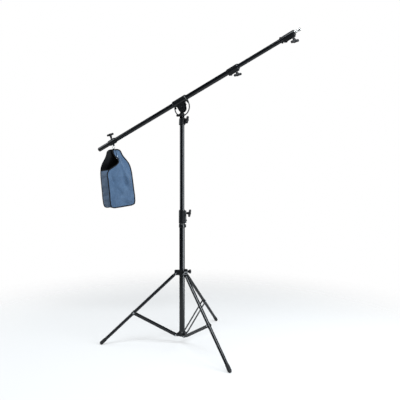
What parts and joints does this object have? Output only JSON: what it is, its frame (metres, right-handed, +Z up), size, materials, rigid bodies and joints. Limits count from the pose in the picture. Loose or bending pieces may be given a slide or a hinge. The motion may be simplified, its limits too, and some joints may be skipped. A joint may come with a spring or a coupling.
{
  "type": "boom stand",
  "caption": "Folding tripod stand with a telescopic column, a tilting and panning head with an arc plate, a telescopic boom with a spigot, and a counterweight bag.",
  "frame": {"origin": "on the floor, on the axis of the column", "axes": "+Z up the column; +X is the horizontal direction of the boom towards its spigot; +Y completes a right-handed frame, along the tilt pin"},
  "size_m": [1.4945, 0.8109, 1.8813],
  "materials": {
    "black_tube": "satin black stove enamel on steel tube",
    "black_casting": "semi-gloss black powder coat on die casting",
    "black_plastic": "moulded black plastic, fine grain",
    "white_bush": "plain nylon",
    "bright_rivet": "bright zinc plated steel",
    "arc_steel": "grey brushed steel plate",
    "nickel": "bright nickel plate",
    "rubber": "black rubber",
    "bag_cloth": "slate blue woven polyester with black binding",
    "strap_web": "black webbing"
  },
  "bodies": {
    "base": {"lower_tube": "black_tube", "column_plug": "black_plastic", "hub": "black_casting", "hub_pins": "bright_rivet", "column_collar": "black_casting", "column_bush": "white_bush", "collar_screw": "bright_rivet", "stop_ring": "black_casting"},
    "yoke": {"yoke": "black_casting", "leg_pins": "bright_rivet"},
    "yoke_knob": {"yoke_knob": "black_plastic"},
    "collar_knob": {"collar_knob": "black_plastic"},
    "riser": {"riser_tube": "black_tube", "riser_guide": "white_bush"},
    "head": {"head_post": "black_casting", "tilt_bolt": "bright_rivet", "tilt_nut": "bright_rivet"},
    "pan_knob": {"pan_knob": "black_plastic"},
    "tilt_knob": {"tilt_knob": "black_plastic"},
    "saddle": {"saddle": "black_casting", "saddle_liner": "white_bush", "arc_plate": "arc_steel", "arc_screws": "bright_rivet"},
    "boom_lock_knob": {"boom_lock_knob": "black_plastic"},
    "boom": {"boom_outer_tube": "black_tube", "boom_tail_cap": "black_plastic", "boom_collar": "black_casting", "boom_bush": "white_bush", "boom_collar_screw": "bright_rivet"},
    "boom_collar_knob": {"boom_collar_knob": "black_plastic"},
    "boom_inner": {"boom_inner_tube": "black_tube", "boom_inner_guide": "white_bush", "tip_stop_ring": "black_casting", "tip_collar": "black_casting", "tip_screw": "bright_rivet", "spigot": "nickel"},
    "tip_knob": {"tip_knob": "black_plastic"},
    "weight_clamp": {"weight_clamp": "black_casting"},
    "weight_knob": {"weight_knob": "black_plastic"},
    "shackle": {"bag_shackle": "nickel"},
    "bag": {"bag": "bag_cloth", "bag_strap": "strap_web"},
    "leg_1": {"leg_1_tube": "black_tube", "leg_1_eye": "black_casting", "leg_1_clip": "black_plastic", "leg_1_foot_cap": "rubber"},
    "brace_1": {"brace_1_strips": "black_tube", "brace_1_rivets": "bright_rivet"},
    "leg_2": {"leg_2_tube": "black_tube", "leg_2_eye": "black_casting", "leg_2_clip": "black_plastic", "leg_2_foot_cap": "rubber"},
    "brace_2": {"brace_2_strips": "black_tube", "brace_2_rivets": "bright_rivet"},
    "leg_3": {"leg_3_tube": "black_tube", "leg_3_eye": "black_casting", "leg_3_clip": "black_plastic", "leg_3_foot_cap": "rubber"},
    "brace_3": {"brace_3_strips": "black_tube", "brace_3_rivets": "bright_rivet"}
  },
  "joints": [
    {"name": "yoke_slide", "type": "slide", "parent": "base", "child": "yoke", "axis": [0, 0, 1], "range_m": [0, 0.268]},
    {"name": "leg_1_hinge", "type": "hinge", "parent": "yoke", "child": "leg_1", "pos_m": [-0.03458, -0.02203, 0.45], "axis": [0.5373, -0.8434, 0], "range_deg": [0, 37.68]},
    {"name": "brace_1_hinge", "type": "hinge", "parent": "base", "child": "brace_1", "pos_m": [-0.03458, -0.02203, 0.057], "axis": [-0.5373, 0.8434, 0], "range_deg": [0, 50.63]},
    {"name": "leg_2_hinge", "type": "hinge", "parent": "yoke", "child": "leg_2", "pos_m": [-0.00179, 0.04096, 0.45], "axis": [-0.999, -0.0436, 0], "range_deg": [0, 37.68]},
    {"name": "brace_2_hinge", "type": "hinge", "parent": "base", "child": "brace_2", "pos_m": [-0.00179, 0.04096, 0.057], "axis": [0.999, 0.0436, 0], "range_deg": [0, 50.63]},
    {"name": "leg_3_hinge", "type": "hinge", "parent": "yoke", "child": "leg_3", "pos_m": [0.03637, -0.01893, 0.45], "axis": [0.4617, 0.887, 0], "range_deg": [0, 37.68]},
    {"name": "brace_3_hinge", "type": "hinge", "parent": "base", "child": "brace_3", "pos_m": [0.03637, -0.01893, 0.057], "axis": [-0.4617, -0.887, 0], "range_deg": [0, 50.63]},
    {"name": "yoke_knob_turn", "type": "hinge", "parent": "yoke", "child": "yoke_knob", "pos_m": [0, 0, 0.462], "axis": [0.8443, 0.5358, 0], "continuous": true},
    {"name": "collar_knob_turn", "type": "hinge", "parent": "base", "child": "collar_knob", "pos_m": [0, 0, 0.838], "axis": [0.9848, 0.1736, 0], "continuous": true},
    {"name": "riser_slide", "type": "slide", "parent": "base", "child": "riser", "axis": [0, 0, 1], "range_m": [-0.53, 0.1]},
    {"name": "head_pan", "type": "hinge", "parent": "riser", "child": "head", "pos_m": [0, 0, 1.43], "axis": [0, 0, 1], "continuous": true},
    {"name": "pan_knob_turn", "type": "hinge", "parent": "head", "child": "pan_knob", "pos_m": [0, 0, 1.434], "axis": [0.9925, -0.1219, 0], "continuous": true},
    {"name": "tilt_knob_turn", "type": "hinge", "parent": "head", "child": "tilt_knob", "pos_m": [0, 0, 1.463], "axis": [0, -1, 0], "continuous": true},
    {"name": "boom_tilt", "type": "hinge", "parent": "head", "child": "saddle", "pos_m": [0, 0, 1.518], "axis": [0, -1, 0], "range_deg": [-60, 33]},
    {"name": "boom_lock_knob_turn", "type": "hinge", "parent": "saddle", "child": "boom_lock_knob", "pos_m": [-0.01634, 0, 1.55885], "axis": [0, 1, 0], "continuous": true},
    {"name": "boom_slide", "type": "slide", "parent": "saddle", "child": "boom", "axis": [0.9285, 0, 0.3714], "range_m": [-0.25, 0.3]},
    {"name": "boom_collar_knob_turn", "type": "hinge", "parent": "boom", "child": "boom_collar_knob", "pos_m": [0.37641, 0, 1.71594], "axis": [0.3714, 0, -0.9285], "continuous": true},
    {"name": "boom_extend", "type": "slide", "parent": "boom", "child": "boom_inner", "axis": [0.9285, 0, 0.3714], "range_m": [-0.26, 0.2]},
    {"name": "tip_knob_turn", "type": "hinge", "parent": "boom_inner", "child": "tip_knob", "pos_m": [0.72366, 0, 1.85483], "axis": [0.3714, 0, -0.9285], "continuous": true},
    {"name": "weight_slide", "type": "slide", "parent": "boom", "child": "weight_clamp", "axis": [-0.9285, 0, -0.3714], "range_m": [-0.3, 0.09]},
    {"name": "weight_knob_turn", "type": "hinge", "parent": "weight_clamp", "child": "weight_knob", "pos_m": [-0.58829, 0, 1.33009], "axis": [-0.3714, 0, 0.9285], "continuous": true},
    {"name": "shackle_swing", "type": "hinge", "parent": "weight_clamp", "child": "shackle", "pos_m": [-0.57826, 0, 1.30502], "axis": [0, 1, 0], "range_deg": [-65, 38]},
    {"name": "bag_swing", "type": "hinge", "parent": "shackle", "child": "bag", "pos_m": [-0.57826, 0, 1.27902], "axis": [0, 1, 0], "range_deg": [-20, 20]}
  ],
  "couplings": [
    {"joint": "leg_1_hinge", "follows": "yoke_slide", "rad_per_m": 2.4538},
    {"joint": "brace_1_hinge", "follows": "yoke_slide", "rad_per_m": 3.2971},
    {"joint": "leg_2_hinge", "follows": "yoke_slide", "rad_per_m": 2.4538},
    {"joint": "brace_2_hinge", "follows": "yoke_slide", "rad_per_m": 3.2971},
    {"joint": "leg_3_hinge", "follows": "yoke_slide", "rad_per_m": 2.4538},
    {"joint": "brace_3_hinge", "follows": "yoke_slide", "rad_per_m": 3.2971}
  ]
}
